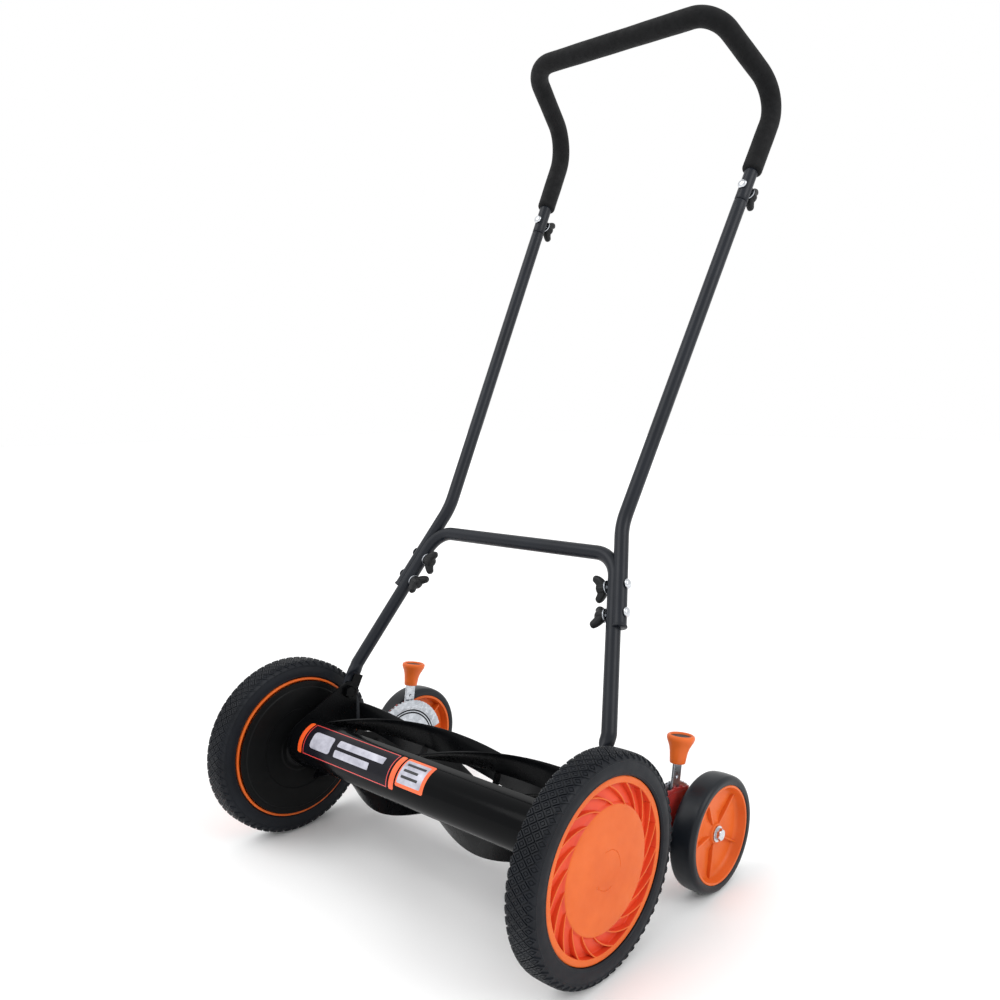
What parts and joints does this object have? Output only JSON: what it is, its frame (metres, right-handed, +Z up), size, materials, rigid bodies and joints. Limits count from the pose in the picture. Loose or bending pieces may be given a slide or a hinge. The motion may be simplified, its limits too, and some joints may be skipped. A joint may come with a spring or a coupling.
{
  "type": "push reel mower",
  "caption": "Push mower with a helical cutting reel between two spoked drive wheels, rear tracking wheels on height levers and a folding tubular handle with a foam grip.",
  "frame": {"origin": "on the ground, at the bottom centre of the whole mower", "axes": "+X across the mower along the wheel axles towards the operator's left, -Y the way it is pushed, +Z up"},
  "size_m": [0.61, 0.6616, 1.1624],
  "materials": {
    "black_steel": "gloss",
    "tube_black": "satin",
    "reel_black": "satin",
    "black_plastic": "satin",
    "bare_steel": "satin",
    "zinc": "bright zinc",
    "index_orange": "matt",
    "grip_foam": "matt foam",
    "tyre_rubber": "matt",
    "tracking_rubber": "satin",
    "orange_plastic": "satin"
  },
  "bodies": {
    "deck": {"side_plate_left": "black_steel", "side_plate_right": "black_steel", "dust_cover_left": "black_plastic", "dust_cover_right": "black_plastic", "front_shield": "black_steel", "cutter_bar": "black_steel", "bed_knife": "bare_steel", "wheel_axle_left": "bare_steel", "wheel_axle_right": "bare_steel", "quadrant_left": "zinc", "quadrant_right": "zinc", "index_plate_left": "index_orange", "index_plate_right": "index_orange", "handle_bolt_left": "zinc", "handle_bolt_right": "zinc", "lever_bolt_left": "zinc", "lever_bolt_right": "zinc"},
    "handle": {"lower_handle": "tube_black", "middle_tube_left": "tube_black", "middle_tube_right": "tube_black", "upper_handle": "tube_black", "foam_grip": "grip_foam", "lower_joint_bolt_1_left": "zinc", "lower_joint_bolt_1_right": "zinc", "lower_wing_knob_1_left": "black_plastic", "lower_wing_knob_1_right": "black_plastic", "lower_joint_bolt_2_left": "zinc", "lower_joint_bolt_2_right": "zinc", "lower_wing_knob_2_left": "black_plastic", "lower_wing_knob_2_right": "black_plastic", "upper_joint_bolt_left": "zinc", "upper_joint_bolt_right": "zinc", "upper_wing_knob_left": "black_plastic", "upper_wing_knob_right": "black_plastic"},
    "reel": {"reel_shaft": "bare_steel", "reel_blade_1": "reel_black", "reel_blade_2": "reel_black", "reel_blade_3": "reel_black", "reel_blade_4": "reel_black", "reel_blade_5": "reel_black", "reel_spider_1": "reel_black", "reel_spider_2": "reel_black", "reel_spider_3": "reel_black", "reel_spider_4": "reel_black"},
    "wheel_left": {"tyre_left": "tyre_rubber", "main_wheel_left": "orange_plastic"},
    "gear_left": {"pinion_left": "bare_steel"},
    "lever_left": {"lever_arm_left": "zinc", "lever_knob_left": "orange_plastic", "tracking_axle_bolt_left": "zinc"},
    "tracking_wheel_left": {"tracking_hub_left": "orange_plastic", "tracking_tyre_left": "tracking_rubber"},
    "wheel_right": {"tyre_right": "tyre_rubber", "main_wheel_right": "orange_plastic"},
    "gear_right": {"pinion_right": "bare_steel"},
    "lever_right": {"lever_arm_right": "zinc", "lever_knob_right": "orange_plastic", "tracking_axle_bolt_right": "zinc"},
    "tracking_wheel_right": {"tracking_hub_right": "orange_plastic", "tracking_tyre_right": "tracking_rubber"}
  },
  "joints": [
    {"name": "wheel_left_spin", "type": "hinge", "parent": "deck", "child": "wheel_left", "pos_m": [0.283, -0.2038, 0.127], "axis": [1, 0, 0], "continuous": true},
    {"name": "pinion_left_spin", "type": "hinge", "parent": "deck", "child": "gear_left", "pos_m": [0.276, -0.1492, 0.12039], "axis": [1, 0, 0], "continuous": true},
    {"name": "wheel_right_spin", "type": "hinge", "parent": "deck", "child": "wheel_right", "pos_m": [-0.283, -0.2038, 0.127], "axis": [1, 0, 0], "continuous": true},
    {"name": "pinion_right_spin", "type": "hinge", "parent": "deck", "child": "gear_right", "pos_m": [-0.276, -0.1492, 0.12039], "axis": [1, 0, 0], "continuous": true},
    {"name": "reel_spin", "type": "hinge", "parent": "deck", "child": "reel", "pos_m": [0, -0.1492, 0.12039], "axis": [1, 0, 0], "continuous": true},
    {"name": "handle_fold", "type": "hinge", "parent": "deck", "child": "handle", "pos_m": [0, -0.1374, 0.2], "axis": [1, 0, 0], "range_deg": [0, 103]},
    {"name": "height_lever_left", "type": "hinge", "parent": "deck", "child": "lever_left", "pos_m": [0.2555, -0.0138, 0.0762], "axis": [1, 0, 0], "range_deg": [-24, 12]},
    {"name": "tracking_wheel_left_spin", "type": "hinge", "parent": "lever_left", "child": "tracking_wheel_left", "pos_m": [0.287, 0.0344, 0.0762], "axis": [1, 0, 0], "continuous": true},
    {"name": "height_lever_right", "type": "hinge", "parent": "deck", "child": "lever_right", "pos_m": [-0.2555, -0.0138, 0.0762], "axis": [1, 0, 0], "range_deg": [-24, 12]},
    {"name": "tracking_wheel_right_spin", "type": "hinge", "parent": "lever_right", "child": "tracking_wheel_right", "pos_m": [-0.287, 0.0344, 0.0762], "axis": [1, 0, 0], "continuous": true}
  ],
  "couplings": [
    {"joint": "pinion_left_spin", "follows": "wheel_left_spin", "ratio": 4.6667},
    {"joint": "pinion_right_spin", "follows": "wheel_right_spin", "ratio": 4.6667},
    {"joint": "reel_spin", "follows": "wheel_left_spin", "ratio": 4.6667}
  ]
}
